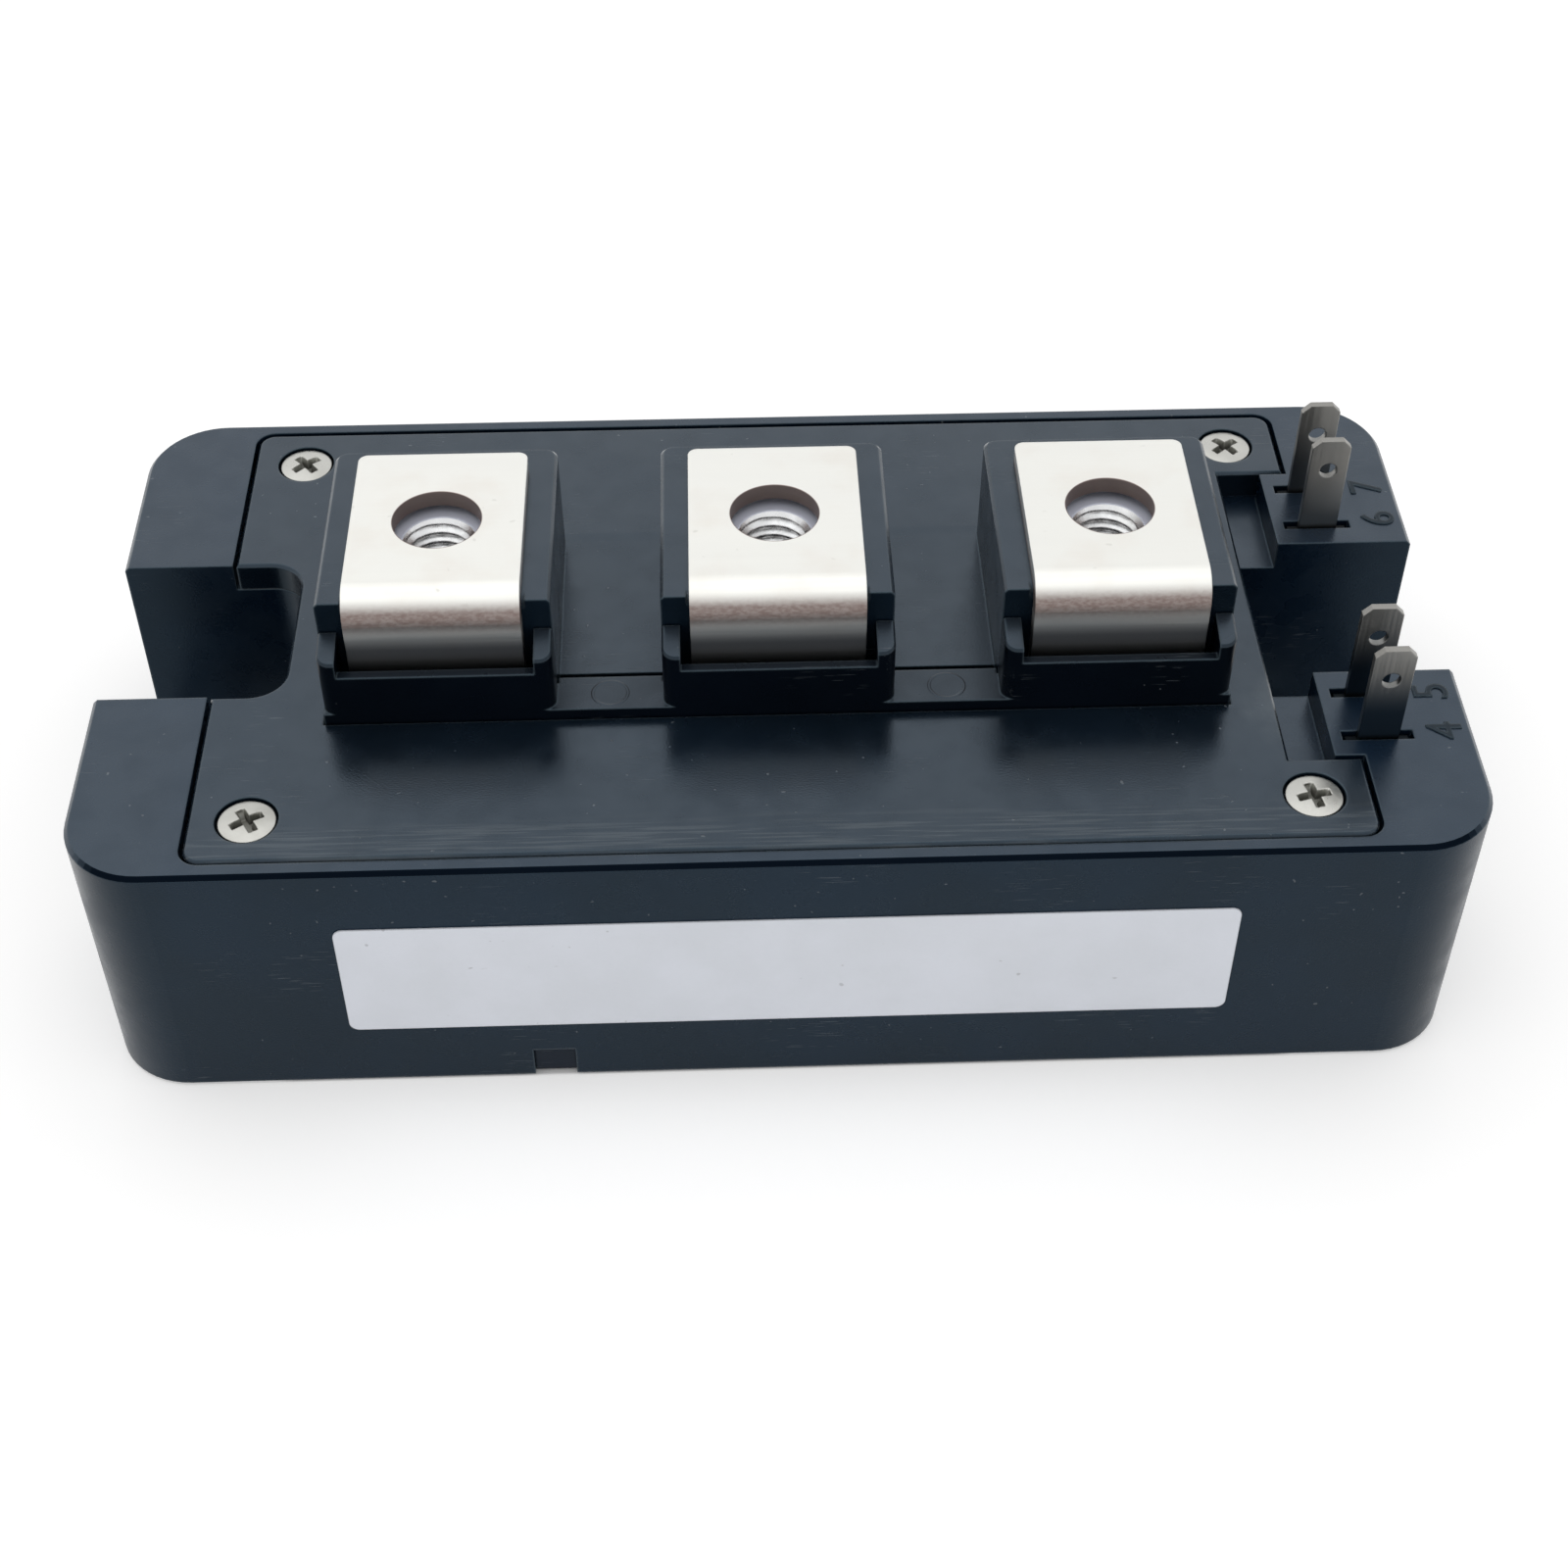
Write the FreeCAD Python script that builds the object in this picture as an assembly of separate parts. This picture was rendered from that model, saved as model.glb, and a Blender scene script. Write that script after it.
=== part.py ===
import FreeCAD, Part
import math
import os

# Half-bridge transistor power module: a moulded case on a metal base plate, a screwed lid with three
# nut blocks, bent strap terminals along the middle and two pairs of blade tabs at one end.
# Frame: millimetres, X along the length, Z up, origin under the middle of the base plate.

# Driving dimensions of the package
package_length = 94.0
package_width = 48.0
case_height = 21.0
case_corner_radius = 5.5
case_edge_chamfer = 0.3
skirt_wall = 1.4
skirt_lift = 0.2
half_length = package_length / 2
half_width = package_width / 2

# Base plate and its mounting holes
plate_thickness = 3.0
plate_clearance = 0.1
plate_edge_chamfer = 0.3
mounting_inset = 7.0
mounting_hole_diameter = 6.5

# Open notches over the mounting holes, with room round the screw's washer
notch_side_room = 3.75
notch_end_room = 2.75
left_notch_radius = 2.5
right_notch_radius = 0.4
notch_wall = 2.0
notch_width = mounting_hole_diameter + 2 * notch_side_room
notch_inner_x = half_length - mounting_inset - mounting_hole_diameter / 2 - notch_end_room

# Lid, its seat and the groove that shows round it
lid_thickness = 2.25
lid_side_rim = 1.15
lid_end_rim = 7.8
lid_gap = 0.25
lid_corner_radius = 1.2
lid_edge_chamfer = 0.2
lid_underside = case_height - lid_thickness
seat_half_length = half_length - lid_end_rim
seat_half_width = half_width - lid_side_rim
lid_half_length = seat_half_length - lid_gap
lid_half_width = seat_half_width - lid_gap

# Lid screws
screw_inset_x = 3.85
screw_inset_y = 3.7
screw_head_diameter = 3.8
screw_head_height = 1.25
screw_shank_diameter = 2.2
screw_length = 9.0
screw_seat_clearance = 0.2
screw_seat_depth = 1.2
screw_hole_clearance = 0.15
screw_recess_width = 0.65
screw_recess_length = 2.3
screw_recess_depth = 0.8
screw_place_x = lid_half_length - screw_inset_x
screw_place_y = lid_half_width - screw_inset_y

# Room for the circuit
case_side_wall = 2.6
cavity_corner_radius = 2.0
cavity_half_length = notch_inner_x - notch_wall
cavity_half_width = half_width - case_side_wall

# Signal blocks at the right end, inside the lid screws, with the step beside the lid
signal_block_length = 9.85
signal_block_screw_room = 3.65
signal_block_x = half_length - signal_block_length
signal_block_reach = screw_place_y - signal_block_screw_room

# Small cut in the front skirt
skirt_cut_width = 2.9
skirt_cut_height = 2.6
skirt_cut_place = -16.1

# Power terminals: three straps, each over a nut block, in a row that fills the lid between its screws
terminal_count = 3
strap_rise = 9.5
strap_thickness = 1.2
strap_side_room = 1.95
strap_rear_reach = 7.3
strap_leg_clearance = 0.2
strap_bend_radius = 0.9
strap_corner_radius = 0.7
strap_hole_diameter = 6.1
strap_leg_width = 6.0
strap_leg_room = 2.75
strap_foot_length = 4.2
strap_top_height = case_height + strap_rise

# Nut blocks on the lid
nut_block_end_room = 8.1
nut_block_gap = 7.3
nut_block_front = 7.2
nut_block_rear_room = 2.1
nut_block_draft = 0.5
nut_block_corner_radius = 0.9
nut_block_edge_chamfer = 0.25
row_half_length = lid_half_length - nut_block_end_room
nut_block_width = (2 * row_half_length - (terminal_count - 1) * nut_block_gap) / terminal_count
nut_block_rear = strap_rear_reach + nut_block_rear_room
nut_block_top = strap_top_height - strap_thickness
terminal_pitch = nut_block_width + nut_block_gap
terminal_places = [(i - (terminal_count - 1) / 2) * terminal_pitch for i in range(terminal_count)]
strap_width = nut_block_width - 2 * strap_side_room
strap_front_reach = nut_block_front + strap_leg_clearance + strap_thickness

# Nuts in the blocks
nut_across_flats = 8.0
nut_height = 4.0
nut_bore_diameter = 4.2
nut_drop = 0.65
nut_pocket_clearance = 0.15
bolt_room_diameter = 5.8
bolt_room_floor = 1.6
bolt_room_chamfer = 0.2
nut_top = nut_block_top - nut_drop
nut_bottom = nut_top - nut_height

# Terminal holder: the bar with three strap boxes that stands in the window of the lid
holder_wall_thickness = 0.7
holder_wall_gap = 0.65
holder_wall_drop = 4.2
holder_ear_width = 1.25
holder_ear_drop = 2.4
holder_ear_slope = 0.6
holder_corner_radius = 0.9
holder_edge_chamfer = 0.15
holder_box_clearance = 0.1
holder_strip_rise = 0.85
holder_strip_inset = 0.45
holder_flange_thickness = 2.5
holder_flange_lip = 1.6
window_clearance = 0.1
window_strip_gap = 1.3
strap_slot_clearance = 0.05
strap_relief_clearance = 0.2
holder_front_reach = strap_front_reach + holder_wall_gap + holder_wall_thickness
holder_rear_reach = nut_block_front - holder_strip_inset
window_rear_reach = holder_rear_reach - window_strip_gap

# Signal blade tabs: their places across the signal block are shares of its width
tab_inner_share = 0.26
tab_outer_share = 0.775
tab_block_room = 3.25
tab_rise = 7.8
tab_width = 2.8
tab_thickness = 0.5
tab_tip_chamfer = 0.6
tab_hole_diameter = 1.25
tab_hole_below_top = 2.6
tab_shoulder_width = 4.3
tab_shoulder_below_case_top = 0.3
tab_shoulder_height = 2.0
tab_stem_width = 1.6
tab_run_height = 9.5
tab_run_depth = 1.5
tab_foot_width = 1.4
tab_recess_length = 4.9
tab_recess_width = 0.9
tab_recess_depth = 1.0
signal_block_width = signal_block_reach - notch_width / 2
tab_place_x = signal_block_x + tab_block_room
tab_inner_y = notch_width / 2 + tab_inner_share * signal_block_width
tab_outer_y = notch_width / 2 + tab_outer_share * signal_block_width
tab_top_height = case_height + tab_rise

# White label on the front face
label_end_room = 11.5
label_height = 10.1
label_thickness = 0.1
label_bottom = 5.6
label_place = 0.2
label_corner_radius = 0.7
label_length = 2 * (half_length - case_corner_radius - label_end_room)

# Substrates on the base plate, one for each arm
copper_thickness = 0.3
ceramic_thickness = 0.63
substrate_end_room = 1.9
substrate_side_room = 3.4
substrate_gap = 1.2
copper_margin = 0.8
gel_top = 12.0
substrate_half_length = cavity_half_length - substrate_end_room
substrate_width = cavity_half_width - substrate_side_room - substrate_gap / 2
copper_half_length = substrate_half_length - copper_margin
copper_near_y = substrate_gap / 2 + copper_margin
copper_far_y = substrate_gap / 2 + substrate_width - copper_margin
circuit_bottom = plate_thickness + copper_thickness
circuit_top = circuit_bottom + ceramic_thickness + copper_thickness

# Conductor patterns: the pads end between the straps' feet and the signal tabs' feet
pattern_gap = 1.0
foot_pad_room = 3.5
signal_pad_length = 4.3
right_foot_inset = 0.9
gate_track_width = 2.6
gate_track_overlap = 1.1
signal_pad_start = copper_half_length - signal_pad_length
signal_pad_split = (tab_inner_y + tab_outer_y) / 2
gate_track_start = copper_far_y - gate_track_width
tab_foot_place_x = (signal_pad_start + pattern_gap / 2 + copper_half_length) / 2
right_foot_end = signal_pad_start - pattern_gap
right_foot_start = terminal_places[2] - strap_width / 2 + right_foot_inset
front_pad_split = terminal_places[0] + strap_leg_width / 2 + foot_pad_room
rear_pad_split = terminal_places[1] - strap_leg_width / 2 - foot_pad_room

# Link between the arms
link_width = 4.0
link_thickness = 0.8
link_bend_radius = 0.2
link_foot_length = 2.4
link_rise = 1.6
link_end_room = 0.3
link_near_y = copper_near_y + link_thickness
link_far_y = link_near_y + link_foot_length
link_place_x = -copper_half_length + link_end_room + link_width / 2

# Chips: the two of an arm stand in a row on its collector pad
chip_thickness = 0.3
chip_room = 1.0
chip_link_room = 0.3
chip_size_step = 2.0
rear_pad_length = copper_half_length + rear_pad_split - pattern_gap / 2
transistor_size = (rear_pad_length - 3 * chip_room + chip_size_step) / 2
diode_size = transistor_size - chip_size_step
chip_top = circuit_top + chip_thickness
front_row_start = front_pad_split + pattern_gap / 2
front_row_room = (right_foot_start - front_row_start - transistor_size - diode_size) / 3
front_chip_y = -(copper_near_y + copper_far_y) / 2
front_diode_place = (front_row_start + front_row_room + diode_size / 2, front_chip_y)
front_transistor_place = (right_foot_start - front_row_room - transistor_size / 2, front_chip_y)
rear_diode_place = (-copper_half_length + chip_room + diode_size / 2,
                    link_far_y + chip_link_room + diode_size / 2)
rear_transistor_place = (rear_pad_split - pattern_gap / 2 - chip_room - transistor_size / 2,
                         gate_track_start + gate_track_overlap - transistor_size / 2)

# Bond wires
wire_diameter = 0.4
wire_count = 4
wire_edge_room = 1.3
wire_rise = 1.6
wire_knee = 0.5
wire_spacing = (diode_size - 2 * wire_edge_room) / (wire_count - 1)

# Run of the middle strap over the front circuit, and where the legs of the straps get narrower
strap_run_clearance = 2.0
strap_run_height = chip_top + wire_rise + wire_diameter / 2 + strap_run_clearance + strap_thickness / 2
strap_leg_start = lid_underside - holder_flange_thickness - strap_leg_room

# How far cutting shapes reach past what they cut, and how close an edge lies to a face it is on
past = 1.0
near = 0.01


def vec(x, y, z):
    return FreeCAD.Vector(x, y, z)


def box(x0, x1, y0, y1, z0, z1):
    """A block given by its limits along each axis."""
    return Part.makeBox(x1 - x0, y1 - y0, z1 - z0, vec(x0, y0, z0))


def cylinder(radius, x, y, z0, z1):
    """An upright round bar."""
    return Part.makeCylinder(radius, z1 - z0, vec(x, y, z0))


def edges_where(shape, test):
    """Edges whose middle point and direction pass the test."""
    found = []
    for edge in shape.Edges:
        middle = edge.valueAt((edge.FirstParameter + edge.LastParameter) / 2)
        ends = edge.valueAt(edge.LastParameter) - edge.valueAt(edge.FirstParameter)
        if test(middle, ends):
            found.append(edge)
    return found


def is_upright(ends):
    return ends.Length > 0 and abs(ends.z) > 0.9 * ends.Length


def rounded_block(x0, x1, y0, y1, z0, z1, radius):
    """A block with its four upright edges rounded."""
    block = box(x0, x1, y0, y1, z0, z1)
    return block.makeFillet(radius, edges_where(block, lambda middle, ends: is_upright(ends)))


def prism(points, rise):
    """A closed outline moved along a straight line."""
    return Part.Face(Part.makePolygon(points + [points[0]])).extrude(rise)


def hexagon_prism(across_flats, x, y, z0, z1):
    """An upright six-sided bar with two flats facing along X."""
    corner_radius = across_flats / math.sqrt(3)
    angles = [math.radians(60 * i + 30) for i in range(6)]
    points = [vec(x + corner_radius * math.cos(a), y + corner_radius * math.sin(a), z0) for a in angles]
    return prism(points, vec(0, 0, z1 - z0))


def rounded_path(points, radius):
    """Straight runs joined by tangent arcs of one radius."""
    edges = []
    start = points[0]
    for corner, after in zip(points[1:-1], points[2:]):
        back = (start - corner) * (1 / (start - corner).Length)
        ahead = (after - corner) * (1 / (after - corner).Length)
        half_angle = back.getAngle(ahead) / 2
        setback = radius / math.tan(half_angle)
        bisector = (back + ahead) * (1 / (back + ahead).Length)
        crown = corner + bisector * (radius / math.sin(half_angle) - radius)
        arc_start = corner + back * setback
        arc_end = corner + ahead * setback
        edges.append(Part.LineSegment(start, arc_start).toShape())
        edges.append(Part.Arc(arc_start, crown, arc_end).toShape())
        start = arc_end
    edges.append(Part.LineSegment(start, points[-1]).toShape())
    return Part.Wire(edges)


def bent_sheet(places, x0, x1, thickness, inner_radius):
    """Sheet metal bent along a path of Y and Z places down its middle, between two X limits."""
    points = [vec(x0, y, z) for y, z in places]
    path = rounded_path(points, inner_radius + thickness / 2)
    first = points[1] - points[0]
    normal = vec(0, -first.z, first.y) * (thickness / 2 / first.Length)
    width = vec(x1 - x0, 0, 0)
    section = Part.makePolygon([points[0] - normal, points[0] + normal, points[0] + normal + width,
                                points[0] - normal + width, points[0] - normal])
    return path.makePipeShell([section], True, False)


def end_notch(side, bottom, top, inner_x):
    """The opening over a mounting hole, with its two inner corners rounded."""
    x0, x1 = sorted([side * inner_x, side * (half_length + past)])
    opening = box(x0, x1, -notch_width / 2, notch_width / 2, bottom, top)
    inner = edges_where(opening, lambda m, ends: is_upright(ends) and abs(m.x) < half_length)
    return opening.makeFillet(left_notch_radius if side < 0 else right_notch_radius, inner)


def screw_places():
    return [(sx * screw_place_x, sy * screw_place_y) for sx in (-1, 1) for sy in (-1, 1)]


def make_base_plate():
    """Flat plate with two mounting holes, a little proud of the skirt below."""
    inset = skirt_wall + plate_clearance
    plate = rounded_block(-half_length + inset, half_length - inset, -half_width + inset, half_width - inset,
                          0, plate_thickness, case_corner_radius - inset)
    rim = edges_where(plate, lambda m, ends: m.z < near)
    plate = plate.makeChamfer(plate_edge_chamfer, rim)
    for side in (-1, 1):
        x = side * (half_length - mounting_inset)
        plate = plate.cut(cylinder(mounting_hole_diameter / 2, x, 0, -past, plate_thickness + past))
    return plate


def make_case(tabs):
    """Moulded housing: outer block, plate pocket, circuit cavity, lid seat, end notches, signal blocks."""
    case = rounded_block(-half_length, half_length, -half_width, half_width,
                         skirt_lift, case_height, case_corner_radius)
    case = case.makeChamfer(case_edge_chamfer, edges_where(case, lambda m, ends: m.z > case_height - near))
    case = case.cut(rounded_block(-half_length + skirt_wall, half_length - skirt_wall,
                                  -half_width + skirt_wall, half_width - skirt_wall,
                                  -past, plate_thickness, case_corner_radius - skirt_wall))
    case = case.cut(make_cavity(plate_thickness, lid_underside + past))
    seat = rounded_block(-seat_half_length, seat_half_length, -seat_half_width, seat_half_width,
                         lid_underside, case_height + past, lid_corner_radius + lid_gap)
    seat = seat.cut(box(signal_block_x, seat_half_length, -signal_block_reach, signal_block_reach,
                        lid_underside, case_height + past))
    case = case.cut(seat)
    for side in (-1, 1):
        case = case.cut(end_notch(side, plate_thickness, case_height + past, notch_inner_x))
    for x, y in screw_places():
        bottom = lid_underside - screw_length + lid_thickness - screw_seat_depth
        case = case.cut(cylinder(screw_shank_diameter / 2, x, y, bottom, case_height))
    for y in (-tab_outer_y, -tab_inner_y, tab_inner_y, tab_outer_y):
        case = case.cut(box(tab_place_x - tab_recess_length / 2, tab_place_x + tab_recess_length / 2,
                            y - tab_recess_width / 2, y + tab_recess_width / 2,
                            case_height - tab_recess_depth, case_height + past))
    case = case.cut(box(skirt_cut_place - skirt_cut_width / 2, skirt_cut_place + skirt_cut_width / 2,
                        -half_width - past, -half_width + skirt_wall, 0, skirt_lift + skirt_cut_height))
    return case.cut(tabs)


def make_cavity(bottom, top):
    """The room for the circuit, between the notch walls and the side walls."""
    return rounded_block(-cavity_half_length, cavity_half_length, -cavity_half_width, cavity_half_width,
                         bottom, top, cavity_corner_radius)


def make_lid():
    """Cover plate with a window for the terminal holder and three nut blocks behind it."""
    lid = rounded_block(-lid_half_length, lid_half_length, -lid_half_width, lid_half_width,
                        lid_underside, case_height, lid_corner_radius)
    lid = lid.cut(end_notch(-1, lid_underside - past, case_height + past, notch_inner_x))
    cut_reach = signal_block_reach + lid_gap
    lid = lid.cut(box(notch_inner_x, half_length, -cut_reach, cut_reach,
                      lid_underside - past, case_height + past))
    lid = lid.makeChamfer(lid_edge_chamfer, edges_where(lid, lambda m, ends: m.z > case_height - near))
    window_end = terminal_pitch + nut_block_width / 2 + window_clearance
    lid = lid.cut(box(-window_end, window_end, -holder_front_reach - window_clearance, -nut_block_front,
                      lid_underside - past, case_height + past))
    for left, right in zip(terminal_places, terminal_places[1:]):
        lid = lid.cut(box(left + nut_block_width / 2, right - nut_block_width / 2, -nut_block_front - past,
                          -window_rear_reach, lid_underside - past, case_height + past))
    for place in terminal_places:
        lid = lid.fuse(make_nut_block(place))
    lid = lid.removeSplitter()
    for place in terminal_places:
        pocket_width = nut_across_flats + 2 * nut_pocket_clearance
        lid = lid.cut(hexagon_prism(pocket_width, place, 0, nut_bottom, nut_block_top + past))
        lid = lid.cut(make_bolt_room(place))
    for x, y in screw_places():
        lid = lid.cut(cylinder(screw_shank_diameter / 2 + screw_hole_clearance, x, y,
                               lid_underside - past, case_height + past))
        lid = lid.cut(cylinder(screw_head_diameter / 2 + screw_seat_clearance, x, y,
                               case_height - screw_seat_depth, case_height + past))
    return lid


def make_nut_block(place):
    """Block that carries a strap; its rear face leans out towards the lid."""
    x0 = place - nut_block_width / 2
    side = [vec(x0, -nut_block_front, lid_underside), vec(x0, -nut_block_front, nut_block_top),
            vec(x0, nut_block_rear, nut_block_top), vec(x0, nut_block_rear + nut_block_draft, case_height),
            vec(x0, nut_block_rear + nut_block_draft, lid_underside)]
    block = prism(side, vec(nut_block_width, 0, 0))
    rear = edges_where(block, lambda m, ends: m.y > nut_block_rear and m.z > case_height and is_upright(ends))
    block = block.makeFillet(nut_block_corner_radius, rear)
    rim = edges_where(block, lambda m, ends: m.z > nut_block_top - near and m.y > -nut_block_front + near)
    return block.makeChamfer(nut_block_edge_chamfer, rim).cut(make_bend_relief(place))


def make_bolt_room(place):
    """Round room under the nut for the bolt's end, with a chamfered mouth."""
    radius = bolt_room_diameter / 2
    mouth = nut_bottom - bolt_room_chamfer
    room = cylinder(radius, place, 0, lid_underside + bolt_room_floor, mouth)
    return room.fuse(Part.makeCone(radius, radius + bolt_room_chamfer, bolt_room_chamfer, vec(place, 0, mouth)))


def make_bend_relief(place):
    """What the nut block's front edge loses under the strap, so that the bend lies round it."""
    half = strap_width / 2 + strap_relief_clearance
    radius = strap_bend_radius
    y0 = -nut_block_front
    z0 = nut_block_top - radius
    corner = box(place - half, place + half, y0 - past, y0 + radius, z0, nut_block_top + past)
    keep = Part.makeCylinder(radius, 2 * half, vec(place - half, y0 + radius, z0), vec(1, 0, 0))
    return corner.cut(keep)


def make_terminal_holder():
    """Bar under the lid with three boxes that stand up round the straps, joined by low strips.

    Each box has a thin front wall and two ears at its sides, whose tops slope to the front."""
    end = terminal_pitch + nut_block_width / 2
    strip_top = case_height + holder_strip_rise
    flange_end = end + holder_flange_lip / 2
    bar = box(-end, end, -holder_front_reach, -holder_rear_reach, lid_underside, strip_top)
    bar = bar.fuse(box(-flange_end, flange_end, -holder_front_reach - holder_flange_lip,
                       -window_rear_reach + holder_flange_lip,
                       lid_underside - holder_flange_thickness, lid_underside))
    box_rear = nut_block_front + holder_box_clearance
    mouth = nut_block_width / 2 - holder_ear_width
    ear_rear = nut_block_top - holder_ear_drop
    ear_front = ear_rear - holder_ear_slope
    wall_top = nut_block_top - holder_wall_drop
    for place in terminal_places:
        x0 = place - nut_block_width / 2
        x1 = place + nut_block_width / 2
        bar = bar.cut(box(x0 - holder_box_clearance, x1 + holder_box_clearance, -box_rear, -holder_rear_reach,
                          lid_underside, strip_top + past))
        side = [vec(x0, -holder_front_reach, lid_underside), vec(x0, -holder_front_reach, ear_front),
                vec(x0, -box_rear, ear_rear), vec(x0, -box_rear, lid_underside)]
        tower = prism(side, vec(nut_block_width, 0, 0))
        front = edges_where(tower, lambda m, ends: is_upright(ends) and m.y < -holder_front_reach + near)
        tower = tower.makeFillet(holder_corner_radius, front)
        rim = edges_where(tower, lambda m, ends: m.z > ear_front - near and m.y < -box_rear - near)
        tower = tower.makeChamfer(holder_edge_chamfer, rim)
        bar = bar.fuse(tower)
    bar = bar.removeSplitter()
    for place in terminal_places:
        bar = bar.cut(box(place - mouth, place + mouth, -holder_front_reach + holder_wall_thickness, 0,
                          lid_underside, nut_block_top))
        bar = bar.cut(box(place - mouth, place + mouth, -holder_front_reach - past, 0, wall_top, nut_block_top))
        half_slot = strap_width / 2 + strap_slot_clearance
        bar = bar.cut(box(place - half_slot, place + half_slot, -strap_front_reach - strap_slot_clearance,
                          -strap_front_reach + strap_thickness + strap_slot_clearance, 0, lid_underside))
    return bar


def make_strap(place, foot_start, foot_end, run_height):
    """Terminal strap: flat top with its bolt hole, bend, leg through the holder, and a narrower foot.

    Without a run the foot turns to the front under the leg; a run takes it to the rear substrate."""
    top = strap_top_height - strap_thickness / 2
    leg = -strap_front_reach + strap_thickness / 2
    foot = circuit_top + strap_thickness / 2
    x0 = place - strap_width / 2
    x1 = place + strap_width / 2
    if run_height is None:
        route = [(strap_rear_reach, top), (leg, top), (leg, foot), (leg - strap_foot_length, foot)]
    else:
        rear_leg = substrate_gap + strap_foot_length
        route = [(strap_rear_reach, top), (leg, top), (leg, run_height), (rear_leg, run_height),
                 (rear_leg, foot), (rear_leg + strap_foot_length, foot)]
    strap = bent_sheet(route, x0, x1, strap_thickness, strap_bend_radius)
    strap = strap.cut(box(x0 - past, foot_start, -half_width, half_width, -past, strap_leg_start))
    strap = strap.cut(box(foot_end, x1 + past, -half_width, half_width, -past, strap_leg_start))
    corners = edges_where(strap, lambda m, ends: is_upright(ends) and m.y > strap_rear_reach - near
                          and m.z > nut_block_top)
    strap = strap.makeFillet(strap_corner_radius, corners)
    hole = cylinder(strap_hole_diameter / 2, place, 0, nut_block_top - past, strap_top_height + past)
    return strap.cut(hole)


def make_terminal_nut(place):
    """Hexagon nut with its bore."""
    body = hexagon_prism(nut_across_flats, place, 0, nut_bottom, nut_top)
    return body.cut(cylinder(nut_bore_diameter / 2, place, 0, nut_bottom - past, nut_top + past))


def make_lid_screw(x, y):
    """Screw with a cross recess, its head sunk in the lid."""
    seat = case_height - screw_seat_depth
    head_top = seat + screw_head_height
    screw = cylinder(screw_shank_diameter / 2, 0, 0, seat - screw_length, seat)
    screw = screw.fuse(cylinder(screw_head_diameter / 2, 0, 0, seat, head_top))
    half_arm = screw_recess_length / 2
    half_slot = screw_recess_width / 2
    floor = head_top - screw_recess_depth
    screw = screw.cut(box(-half_arm, half_arm, -half_slot, half_slot, floor, head_top + past))
    screw = screw.cut(box(-half_slot, half_slot, -half_arm, half_arm, floor, head_top + past))
    screw.translate(vec(x, y, 0))
    return screw


def make_signal_tab(y):
    """Stamped blade: tip, hole, shoulders, then a stem and a run inside to its foot on the circuit."""
    y0 = y - tab_thickness / 2
    x = tab_place_x
    half = tab_width / 2
    tip = tab_top_height
    shoulder_top = case_height - tab_shoulder_below_case_top
    shoulder_bottom = shoulder_top - tab_shoulder_height
    wide = tab_shoulder_width / 2
    stem = tab_stem_width / 2
    run_top = tab_run_height
    run_bottom = tab_run_height - tab_run_depth
    foot_in = tab_foot_place_x - tab_foot_width / 2
    foot_out = tab_foot_place_x + tab_foot_width / 2
    outline = [(x - half + tab_tip_chamfer, tip), (x + half - tab_tip_chamfer, tip), (x + half, tip - tab_tip_chamfer),
               (x + half, shoulder_top), (x + wide, shoulder_top), (x + wide, shoulder_bottom),
               (x + stem, shoulder_bottom), (x + stem, run_bottom), (foot_out, run_bottom),
               (foot_out, circuit_top), (foot_in, circuit_top), (foot_in, run_top), (x - stem, run_top),
               (x - stem, shoulder_bottom), (x - wide, shoulder_bottom), (x - wide, shoulder_top),
               (x - half, shoulder_top), (x - half, tip - tab_tip_chamfer)]
    blade = prism([vec(px, y0, pz) for px, pz in outline], vec(0, tab_thickness, 0))
    hole = Part.makeCylinder(tab_hole_diameter / 2, tab_thickness + 2 * past,
                             vec(x, y0 - past, tip - tab_hole_below_top), vec(0, 1, 0))
    return blade.cut(hole)


def make_label():
    """Thin rounded rectangle on the front face."""
    x0 = label_place - label_length / 2
    x1 = label_place + label_length / 2
    label = box(x0, x1, -half_width - label_thickness, -half_width, label_bottom, label_bottom + label_height)
    corners = edges_where(label, lambda m, ends: ends.Length > 0 and abs(ends.y) > 0.9 * ends.Length)
    return label.makeFillet(label_corner_radius, corners)


def copper_limits(side):
    """Y limits of the copper on the front (-1) or rear (1) substrate."""
    return sorted([side * copper_near_y, side * copper_far_y])


def make_back_copper(side):
    y0, y1 = copper_limits(side)
    return box(-copper_half_length, copper_half_length, y0, y1, plate_thickness, circuit_bottom)


def make_substrate(side):
    y0, y1 = copper_limits(side)
    return box(-substrate_half_length, substrate_half_length, y0 - copper_margin, y1 + copper_margin,
               circuit_bottom, circuit_bottom + ceramic_thickness)


def pad(x0, x1, y0, y1):
    return box(x0, x1, y0, y1, circuit_top - copper_thickness, circuit_top)


def make_front_circuit():
    """Emitter pad, collector pad, gate pad and sense pad of the front arm."""
    y0, y1 = copper_limits(-1)
    half_gap = pattern_gap / 2
    emitter = pad(-copper_half_length, front_pad_split - half_gap, y0, y1)
    collector = pad(front_pad_split + half_gap, signal_pad_start - half_gap, y0, y1)
    gate = pad(signal_pad_start + half_gap, copper_half_length, y0, -signal_pad_split - half_gap)
    sense = pad(signal_pad_start + half_gap, copper_half_length, -signal_pad_split + half_gap, y1)
    return Part.makeCompound([emitter, collector, gate, sense])


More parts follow.
